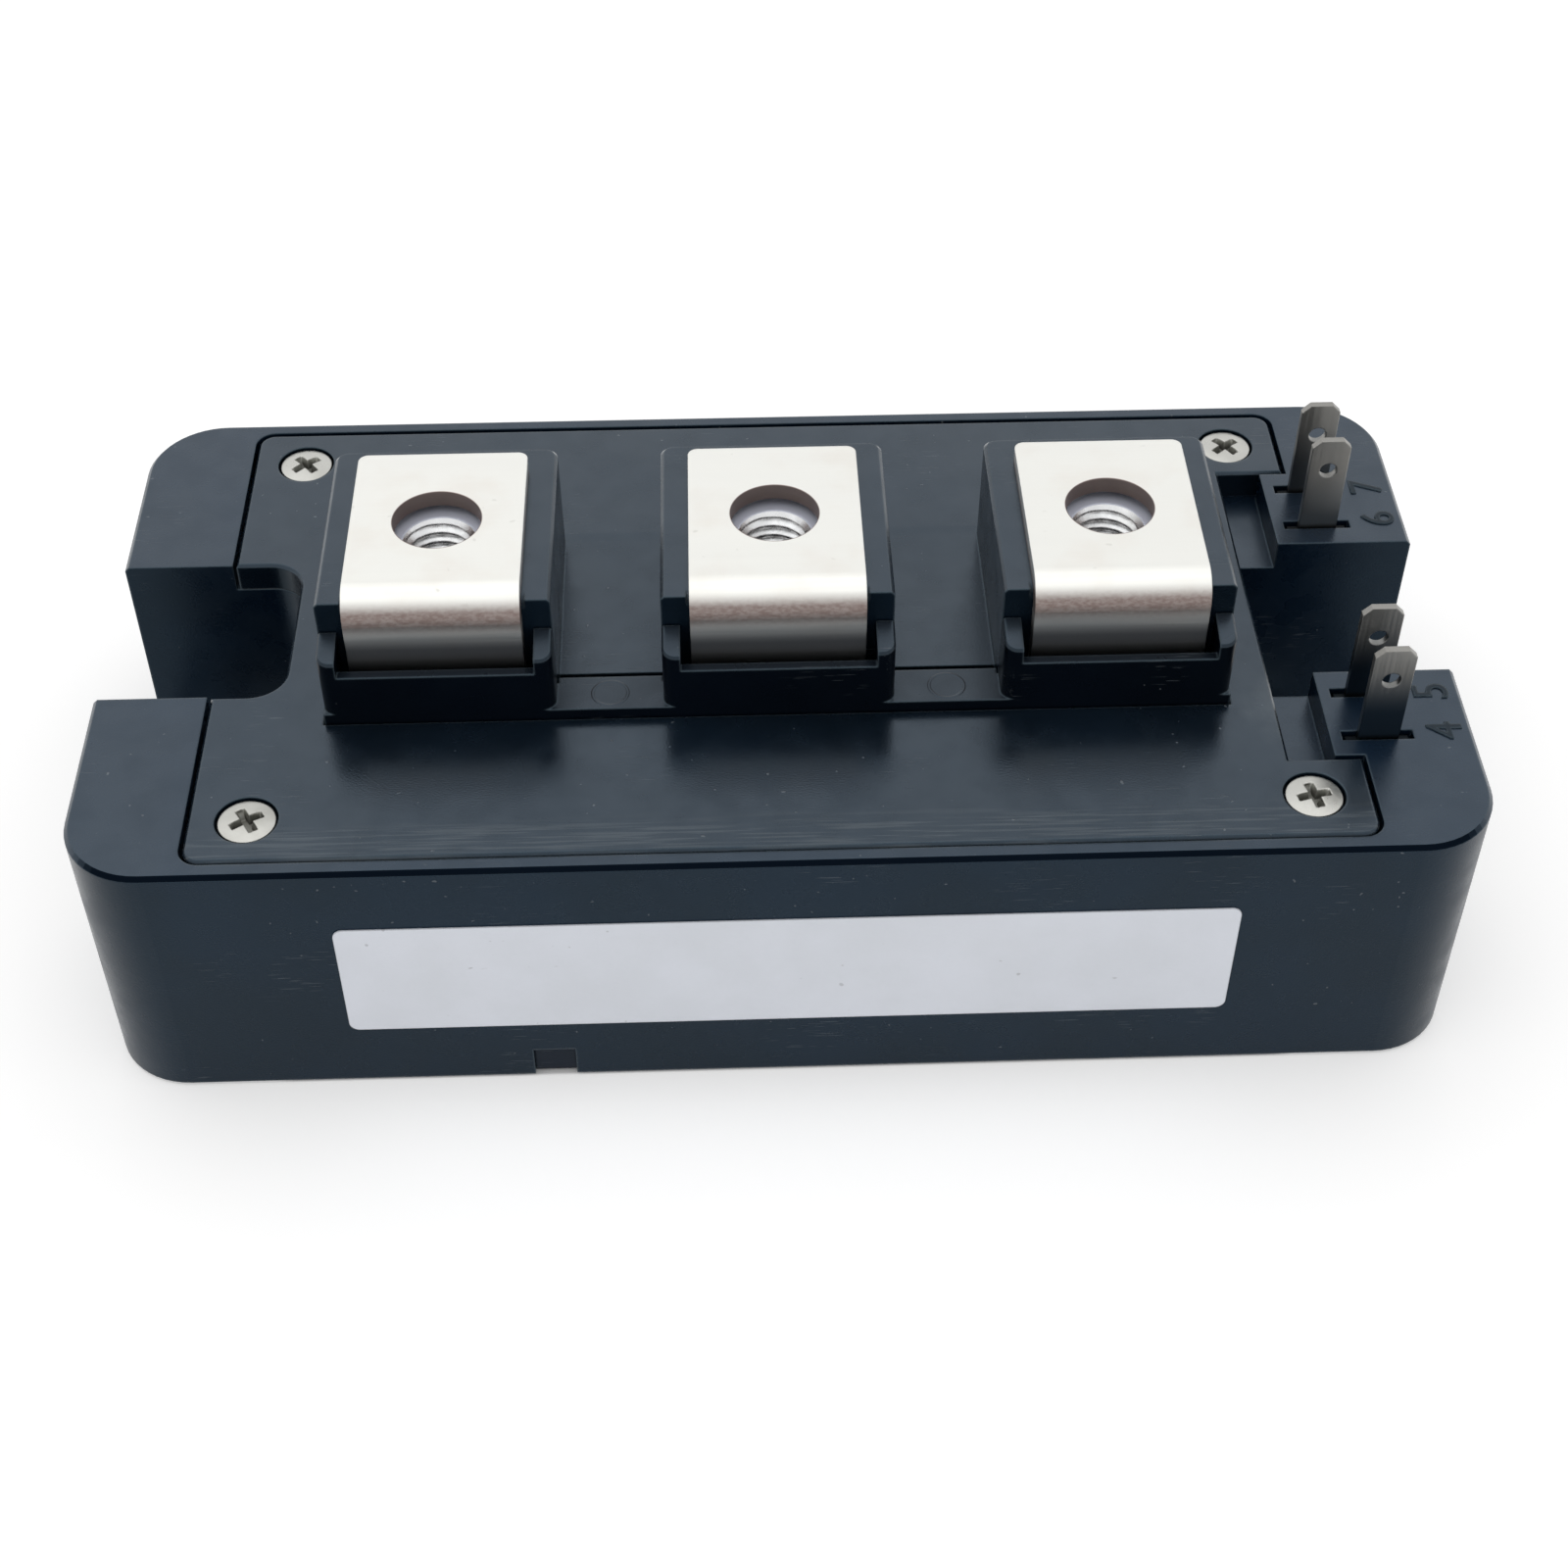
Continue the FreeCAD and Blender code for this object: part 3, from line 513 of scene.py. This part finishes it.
# %% Plated straps, nuts, screws, tabs and plate
along_x, along_z, no_grain = (0,), (2,), ()
strap_nickel = plated_metal("strap_nickel", (0.835, 0.835, 0.80), 0.36, along_x, 3000.0,
                            (0.78, 0.75, 0.70), 0.15,
                            [(painted_bend_reflection, (0.235, 0.18, 0.165), 0.46),
                             (painted_leg_reflection, (0.075, 0.080, 0.090), 0.42),
                             (strap_hole_wall, (0.28, 0.22, 0.205), 0.5)])
nut_zinc = plated_metal("nut_zinc", (0.74, 0.75, 0.76), 0.22, no_grain, 2200.0,
                        (0.60, 0.60, 0.58), 0.35,
                        [(nut_face, (0.72, 0.74, 0.82), 0.8)])
screw_nickel = plated_metal("screw_nickel", (0.56, 0.56, 0.53), 0.28, no_grain, 2600.0,
                            (0.34, 0.34, 0.31), 0.5,
                            [(painted_recess_shade, (0.15, 0.15, 0.135), 0.5)])
tab_tin = plated_metal("tab_tin", (0.31, 0.305, 0.29), 0.34, along_z, 5200.0,
                       (0.26, 0.25, 0.23), 0.4,
                       [(painted_tab_shade, (0.035, 0.058, 0.082), 0.36),
                        (painted_slot_shade, (0.012, 0.014, 0.016), 0.5)])
plate_nickel = plated_metal("plate_nickel", (0.58, 0.60, 0.62), 0.34, along_x, 3200.0,
                            (0.50, 0.50, 0.50), 0.35,
                            [(painted_rim_shade, (0.12, 0.115, 0.14), 0.4)])
put_on(strap_nickel, "strap_left", "strap_middle", "strap_right")
put_on(tab_tin, "signal_tab_g1", "signal_tab_e1", "signal_tab_e2", "signal_tab_g2")
put_on(plate_nickel, "base_plate")

# %% [markdown]
# ## The label
# The label is plain white coated paper. One flat white would look like a hole in the picture, because paper
# is never that even: fibres mottle it, its cut edge is greyer and a few specks of dust stick to it.

# %% Label finish
label_paper = Finish("label_paper")
fibres = noise(label_paper, whereabouts(label_paper, (1, 1, 3)), 3800.0, 4.0)
mottle = ramp(label_paper, noise(label_paper, whereabouts(label_paper), 160.0, 3.0), 0.3, 0.7)
paper_dust = specks(label_paper, 1500.0, 0.88, 0.93)
paper_rounded, paper_edge = soft_edges(label_paper, 0.15 * mm)
paper_shade = blend_colours(label_paper, mottle, (0.77, 0.80, 0.86), (0.81, 0.84, 0.91))
paper_shade = blend_colours(label_paper, 0.5 * paper_edge, paper_shade, (0.50, 0.52, 0.55))
paper_shade = blend_colours(label_paper, 0.4 * paper_dust, paper_shade, (0.28, 0.28, 0.29))
label_paper.set(Base_Color=paper_shade, Roughness=ramp(label_paper, fibres, 0.3, 0.7, 0.42, 0.56),
                Normal=bumps(label_paper, fibres, 0.02 * mm, paper_rounded))
label_paper.set(Specular_IOR_Level=0.4)
put_on(label_paper, "label")

# %% [markdown]
# ## Finishes inside
# Nobody sees these with the lid on, but a reader may open the model. The circuit is bare copper with drawn
# aluminium wires, the ceramic is a matt white, the chips are dark silicon under a grid of metal fingers, and
# the gel is clear and soft.

# %% Copper and wires
circuit_copper = plated_metal("circuit_copper", (0.72, 0.36, 0.22), 0.30, along_x, 3000.0,
                              (0.45, 0.22, 0.14))
drawn_wire = plated_metal("drawn_wire", (0.80, 0.81, 0.82), 0.28, no_grain, 4000.0, (0.66, 0.67, 0.68))
put_on(circuit_copper, "front_back_copper", "rear_back_copper", "front_circuit_copper",
       "rear_circuit_copper", "arm_link")
put_on(drawn_wire, "front_bond_wires", "rear_bond_wires")

# %% Ceramic and chips
ceramic = Finish("white_ceramic")
sinter = noise(ceramic, whereabouts(ceramic), 5200.0, 3.0)
ceramic.set(Base_Color=blend_colours(ceramic, sinter, (0.72, 0.72, 0.70), (0.84, 0.84, 0.82)),
            Roughness=ramp(ceramic, sinter, 0.3, 0.7, 0.5, 0.65), Normal=bumps(ceramic, sinter, 0.01 * mm))
put_on(ceramic, "front_substrate", "rear_substrate")

chip = Finish("metal_fingered_chip")
fingers = chip.add("ShaderNodeTexWave", {"wave_type": "BANDS", "bands_direction": "X"},
                   {"Vector": whereabouts(chip), "Scale": 260.0})
cells = noise(chip, whereabouts(chip), 9000.0, 1.0)
metal_share = ramp(chip, fingers, 0.15, 0.3)
chip.set(Base_Color=blend_colours(chip, metal_share, (0.09, 0.09, 0.12), (0.74, 0.74, 0.75)),
         Metallic=0.9 * metal_share, Roughness=ramp(chip, cells, 0.3, 0.7, 0.22, 0.4))
put_on(chip, "front_transistor_chip", "rear_transistor_chip", "front_diode_chip", "rear_diode_chip")

# %% Gel
gel = Finish("soft_gel")
ripple = noise(gel, whereabouts(gel), 120.0, 2.0)
gel.set(Base_Color=blend_colours(gel, ripple, (0.72, 0.76, 0.78), (0.82, 0.85, 0.86)),
        Roughness=ramp(gel, ripple, 0.3, 0.7, 0.05, 0.12), Normal=bumps(gel, ripple, 0.2 * mm))
gel.set(Alpha=0.35)
put_on(gel, "silicone_gel")

# %% [markdown]
# ## Surfaces from numbers
# The nuts, the screws and the seal are grids of points worked out with numpy, because a formula gives exact
# threads where modelling by hand would take hours. A row of the grid runs round an axis, and the rows follow
# a profile. Joining each point to its neighbours gives the faces.

# %% Meshes to pieces
merge_distance = 1e-7
sliver_length = 1e-8


def mesh_piece(name, mesh, finish):
    """Merges doubled points, turns the faces outwards and puts the mesh on the module's one body."""
    work = bmesh.new()
    work.from_mesh(mesh)
    bmesh.ops.remove_doubles(work, verts=work.verts, dist=merge_distance)
    bmesh.ops.dissolve_degenerate(work, edges=work.edges, dist=sliver_length)
    bmesh.ops.recalc_face_normals(work, faces=work.faces)
    work.to_mesh(mesh)
    work.free()
    mesh.materials.append(finish.material)
    piece = bpy.data.objects.new(name, mesh)
    bpy.context.scene.collection.objects.link(piece)
    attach(piece, "root")
    print(name, len(mesh.polygons), "faces")
    return piece


def grid_piece(name, points, finish, close_profile):
    """One mesh from an array of grids, shape (copies, rows, columns, 3), in millimetres.

    Columns always close on themselves. Rows close too where the profile does."""
    copies, rows, columns, _ = points.shape
    number = np.arange(copies * rows * columns).reshape(copies, rows, columns)
    following = np.roll(number, -1, axis=1)
    if not close_profile:
        number, following = number[:, :-1], following[:, :-1]
    beside, diagonal = np.roll(number, -1, axis=2), np.roll(following, -1, axis=2)
    quads = np.stack([number, beside, diagonal, following], axis=-1)
    mesh = bpy.data.meshes.new(name)
    mesh.from_pydata((points.reshape(-1, 3) * mm).tolist(), [], quads.reshape(-1, 4).tolist())
    return mesh_piece(name, mesh, finish)


# %% Rows round an axis
def around(count):
    """Equal angles round a full turn."""
    return np.arange(count) * 2 * np.pi / count


def revolve(radius, height, angles):
    """Points at a radius and height for each row and angle."""
    return np.stack([radius * np.cos(angles), radius * np.sin(angles), height + 0 * angles], axis=-1)


print("four columns stand at", np.degrees(around(4)).tolist(), "degrees")

# %% [markdown]
# ## Threaded nuts
# Through each strap's hole one sees the nut's bright thread. A bump can't make its crests stand out from the
# wall, so the thread is real: the bore's radius follows a flattened zigzag that climbs one pitch per turn.

# %% Thread
nut_across_flats = 8.0
nut_height = 4.0
nut_top = 28.65
nut_chamfer = 0.35
thread_pitch = 0.8
thread_minor = 2.1
thread_major = 2.5
mouth_room = 0.1
flank_slope = 1.35


def zigzag(turns):
    """0 on a crest, 1 in a root and flat for a short way at both: a steep wave, cut off at both ends."""
    wave = np.abs(2 * (turns % 1) - 1)
    return np.clip(flank_slope * wave - (flank_slope - 1) / 2, 0, 1)


print("thread at each eighth of a turn:", np.round(zigzag(np.arange(8) / 8), 2).tolist())


# %% Nuts
def nut_surface(columns=96, bore_rows=70, chamfer_rows=6):
    """Outside: a hexagon cut off by a cone at both ends. Inside: the thread, opened out at both mouths."""
    angle = around(columns)[None, :]
    flat = nut_across_flats / 2
    corner = nut_across_flats / math.sqrt(3)
    hexagon = flat / np.cos((angle + np.pi / 6) % (np.pi / 3) - np.pi / 6)
    rising = np.linspace(0, nut_chamfer, chamfer_rows)
    outer_height = np.concatenate([rising, nut_height - nut_chamfer + rising])[:, None]
    from_end = np.minimum(outer_height, nut_height - outer_height)
    outer = np.minimum(hexagon, flat + from_end / nut_chamfer * (corner - flat))
    bore_height = np.linspace(nut_height, 0, bore_rows)[:, None]
    mouth = thread_major + mouth_room - np.minimum(bore_height, nut_height - bore_height)
    turns = bore_height / thread_pitch - angle / (2 * np.pi)
    thread = thread_minor + (thread_major - thread_minor) * zigzag(turns)
    radius = np.concatenate([outer, np.maximum(thread, mouth)])
    height = np.concatenate([outer_height, bore_height])
    return revolve(radius, nut_top - nut_height + height, angle)


terminals = np.array([[-terminal_pitch, 0, 0], [0, 0, 0], [terminal_pitch, 0, 0]])
nut_points = nut_surface()[None] + terminals[:, None, None]
threaded_nuts = grid_piece("threaded_nuts", nut_points, nut_zinc, True)
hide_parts("terminal_nuts")

# %% [markdown]
# ## Lid screws
# A cross recess has tapered walls and a rounded bottom, and its four wings end in a curve. Cutting one shape
# out of another leaves ragged edges, but as a height over the head it is simple: the dome, less a depth that
# falls off with the distance from the cross.

# %% Cross recess
recess_depth = 0.8
wing_length = 1.15
wing_half_width = 0.33
wing_taper = 0.35
wall_taper = 0.14
wing_curve = 0.6


def cross_recess(x, y):
    """Depth of the recess: full inside the cross, and falling to nothing over a short tapered wall."""
    along, across = np.maximum(np.abs(x), np.abs(y)), np.minimum(np.abs(x), np.abs(y))
    wall = np.clip((wing_half_width - across) / wall_taper, 0, 1)
    end = np.clip((wing_length - along) / wing_taper, 0, 1)
    return recess_depth * wall * end ** wing_curve


print("depth along a wing, in mm:", np.round(cross_recess(np.arange(0, 1.3, 0.3), 0), 2).tolist())

# %% Screw surface
case_top = 21.0
seat_depth = 1.2
head_radius = 1.9
head_height = 1.25
dome_rise = 0.2
side_step = 0.1
foot_chamfer = 0.08
shank_radius = 1.1
core_radius = 0.82
screw_length = 9.0
screw_pitch = 1.1
ridge_sharpness = 1.6
tip_share = 0.12


def screw_surface(columns=120, head_rows=52, shank_rows=90):
    """Rows from the middle of the head out over the dome, down its side, in to the shank and to the point."""
    angle = around(columns)[None, :]
    seat = case_top - seat_depth
    reach = np.linspace(0, 1, head_rows)[:, None] * head_radius
    dome = seat + head_height - dome_rise * (reach / head_radius) ** 2
    head = dome - cross_recess(reach * np.cos(angle), reach * np.sin(angle))
    side_radius = np.array([head_radius, head_radius, head_radius - foot_chamfer, shank_radius])[:, None]
    side_height = np.array([head_height - dome_rise - side_step, side_step, 0.0, 0.0])[:, None]
    down = np.linspace(0, 1, shank_rows)[:, None]
    taper = np.clip((1 - down) / tip_share, 0, 1)
    turns = down * screw_length / screw_pitch + angle / (2 * np.pi)
    ridge = 1 - np.minimum(np.abs(2 * (turns % 1) - 1) * ridge_sharpness, 1)
    shank = (core_radius + (shank_radius - core_radius) * ridge) * taper
    radius = np.concatenate([reach + 0 * angle, side_radius + 0 * angle, shank])
    height = np.concatenate([head, seat + side_height + 0 * angle, seat - down * screw_length + 0 * angle])
    return revolve(radius, height, angle)


one_screw = screw_surface()
print("a screw has", one_screw.shape[0], "rows of", one_screw.shape[1], "points")

# %% Screws
screw_x = 35.1
screw_y = 18.9
screw_spots = [(-screw_x, -screw_y, 30), (-screw_x, screw_y, 40),
               (screw_x, screw_y, 38), (screw_x, -screw_y, 12)]


def turned(points, degrees):
    """The points turned about the Z axis."""
    c, s = math.cos(math.radians(degrees)), math.sin(math.radians(degrees))
    return points @ np.array([[c, s, 0], [-s, c, 0], [0, 0, 1]])


screw_points = np.stack([turned(one_screw, spin) + np.array([x, y, 0]) for x, y, spin in screw_spots])
cross_screws = grid_piece("cross_screws", screw_points, screw_nickel, False)
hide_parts("lid_screws")

# %% [markdown]
# ## Moulded numbers
# Beside each blade tab stands a small raised number, as on any terminal block, so that wires can be told
# apart. Blender's own font gives the outline, and a little depth and bevel make it look moulded. Text is made
# a mesh first and then set in place, so that the finished piece sits at the origin.

# %% Tab numbers
number_height = 2.4
number_rise = 0.10
number_bevel = 0.03
number_sink = 0.02
digit_share_of_size = 0.7
number_places = [("4", 45.2, -13.1), ("5", 45.0, -9.2), ("6", 45.2, 9.7), ("7", 45.0, 13.4)]


def number_mesh(digit, x, y):
    """A digit, extruded, turned a quarter so that its top points along -X, and set on the top of the case."""
    curve = bpy.data.curves.new("digit", "FONT")
    curve.body = digit
    curve.size = number_height / digit_share_of_size
    curve.extrude = number_rise
    curve.bevel_depth = number_bevel
    curve.align_x = "CENTER"
    curve.align_y = "CENTER"
    curve.resolution_u = 6
    holder = bpy.data.objects.new("digit", curve)
    bpy.context.scene.collection.objects.link(holder)
    bpy.context.view_layer.update()
    mesh = bpy.data.meshes.new_from_object(holder.evaluated_get(bpy.context.evaluated_depsgraph_get()))
    bpy.data.objects.remove(holder)
    points = np.empty(len(mesh.vertices) * 3)
    mesh.vertices.foreach_get("co", points)
    across, upward, out = points.reshape(-1, 3).T
    points = np.column_stack([x - upward, y + across, case_top - number_sink + out]) * mm
    mesh.vertices.foreach_set("co", points.ravel())
    return mesh


number_group = bmesh.new()
for digit, x, y in number_places:
    number_group.from_mesh(number_mesh(digit, x, y))
numbers = bpy.data.meshes.new("tab_numbers")
number_group.to_mesh(numbers)
number_group.free()
mark_plastic = moulded_plastic("mark_plastic", (0.0030, 0.0055, 0.0095), 0.34, 0.35, 0.25)
mesh_piece("tab_numbers", numbers, mark_plastic)

# %% [markdown]
# ## A dark filler behind the cut
# A dark piece stands a little behind the face of the small cut at the bottom of the front wall. It is painted
# shade: it makes the cut look shaded where the floor would otherwise show. It could be a box with bevelled
# edges, but it is a rounded outline carried along the width of the cut.

# %% Dark filler, painted shade in the cut
cut_middle = -16.1
cut_half_width = 1.44
filler_front = -23.62
filler_back = -22.55
filler_bottom = 0.05
filler_top = 2.78


def filler_surface(rows=12, columns=64, squareness=7):
    """Its outline is a superellipse: half its size times the cosine or sine to the power 2 / squareness.

    The first and the last row shrink to a point, which closes the ends."""
    angle = around(columns)[None, :]
    waves = np.cos(angle), np.sin(angle)
    across, upward = [np.sign(wave) * np.abs(wave) ** (2 / squareness) for wave in waves]
    size = np.concatenate([[0], np.ones(rows), [0]])[:, None]
    along = np.concatenate([[-1], np.linspace(-1, 1, rows), [1]])[:, None]
    x = cut_middle + cut_half_width * along + 0 * angle
    y = (filler_front + filler_back) / 2 + (filler_back - filler_front) / 2 * size * across
    z = (filler_bottom + filler_top) / 2 + (filler_top - filler_bottom) / 2 * size * upward
    return np.stack([x, y, z], axis=-1)


# A dark plastic piece that stands for the shade inside the cut: painted shade.
notch_shade_plastic = moulded_plastic("notch_shade_plastic", (0.0022, 0.0026, 0.0110), 0.34, 0.35, 0.25)
grid_piece("notch_shade_filler", filler_surface()[None], notch_shade_plastic, False)

# %% [markdown]
# ## Light and floor
# The plastic is lit by what it mirrors: an even white surround, and one wide soft lamp overhead that gives
# the shadows. The surround is plain white to the camera and in reflections, but gives less light, so the
# pale parts don't clip. The floor is pale paper. More light on it would burn out the module too, so it only
# glows a little, to the camera and in reflections. That takes it to white and keeps the module's shadow.

# %% World
surround_light = 0.72


def seen_directly(owner):
    """1 for a ray from the camera, or one that a glossy or clear surface sends on, and otherwise 0."""
    kinds = ("Is Camera Ray", "Is Glossy Ray", "Is Transmission Ray")
    camera_ray, glossy_ray, clear_ray = [owner.add("ShaderNodeLightPath", output=kind) for kind in kinds]
    return camera_ray + glossy_ray + clear_ray


world = bpy.data.worlds.new("studio")
bpy.context.scene.world = world
world.use_nodes = True
sky = Nodes(world.node_tree, "Background")
sky.set(Color=(1, 1, 1, 1), Strength=surround_light + (1 - surround_light) * seen_directly(sky))
print("surround gives", surround_light, "of the light that it shows")

# %% Lamp
lamp_place = Vector((-0.15, 0.05, 0.9))
lamp_aim = Vector((0, 0, 0.01))
lamp = bpy.data.lights.new("top_fill", "AREA")
lamp.shape = "SQUARE"
lamp.size = 1.2
lamp.energy = 1.6
lamp.color = (1.0, 0.99, 0.97)
top_fill = bpy.data.objects.new("top_fill", lamp)
top_fill.location = lamp_place
top_fill.rotation_euler = (lamp_aim - lamp_place).to_track_quat("-Z", "Y").to_euler()
bpy.context.scene.collection.objects.link(top_fill)
print("lamp of", round(lamp.energy, 2), "W,", round(lamp_place.z, 2), "m over the floor")

# %% Floor
floor_side = 3.0
floor_drop = 0.1 * mm
floor_glow = 0.32

floor_mesh = bpy.data.meshes.new("floor")
floor_corners = floor_side / 2 * np.array([[-1, -1], [1, -1], [1, 1], [-1, 1]])
floor_points = np.column_stack([floor_corners, np.full(4, -floor_drop)])
floor_mesh.from_pydata(floor_points.tolist(), [], [(0, 1, 2, 3)])

# No glow under the middle of the module, so the cut in its front wall and the gap round its plate stay dark.
floor_paint = Finish("floor_paint")
floor_paint.set(Base_Color=(0.93, 0.93, 0.93, 1), Roughness=0.9, Specular_IOR_Level=0.0)
floor_x, floor_y, _ = coordinates(floor_paint)
under_length = ramp(floor_paint, abs(floor_x), 34.0 * mm, 36.0 * mm, 1.0, 0.0)
under_width = ramp(floor_paint, abs(floor_y), 23.7 * mm, 24.0 * mm, 1.0, 0.0)
glow_strength = floor_glow * (1.0 - under_length * under_width)
glow = floor_paint.add("ShaderNodeEmission", {}, {"Color": (1, 1, 1, 1), "Strength": glow_strength})
lit_floor = Signal(floor_paint, floor_paint.shader.outputs[0])
glowing_floor = floor_paint.add("ShaderNodeAddShader", {}, {0: lit_floor, 1: glow})
floor_paint.mix_over(seen_directly(floor_paint), glowing_floor)

floor_mesh.materials.append(floor_paint.material)
floor = bpy.data.objects.new("floor", floor_mesh)
bpy.context.scene.collection.objects.link(floor)
print("floor", floor_side, "m wide")

# %% Finish
bpy.context.scene.view_settings.view_transform = "Standard"
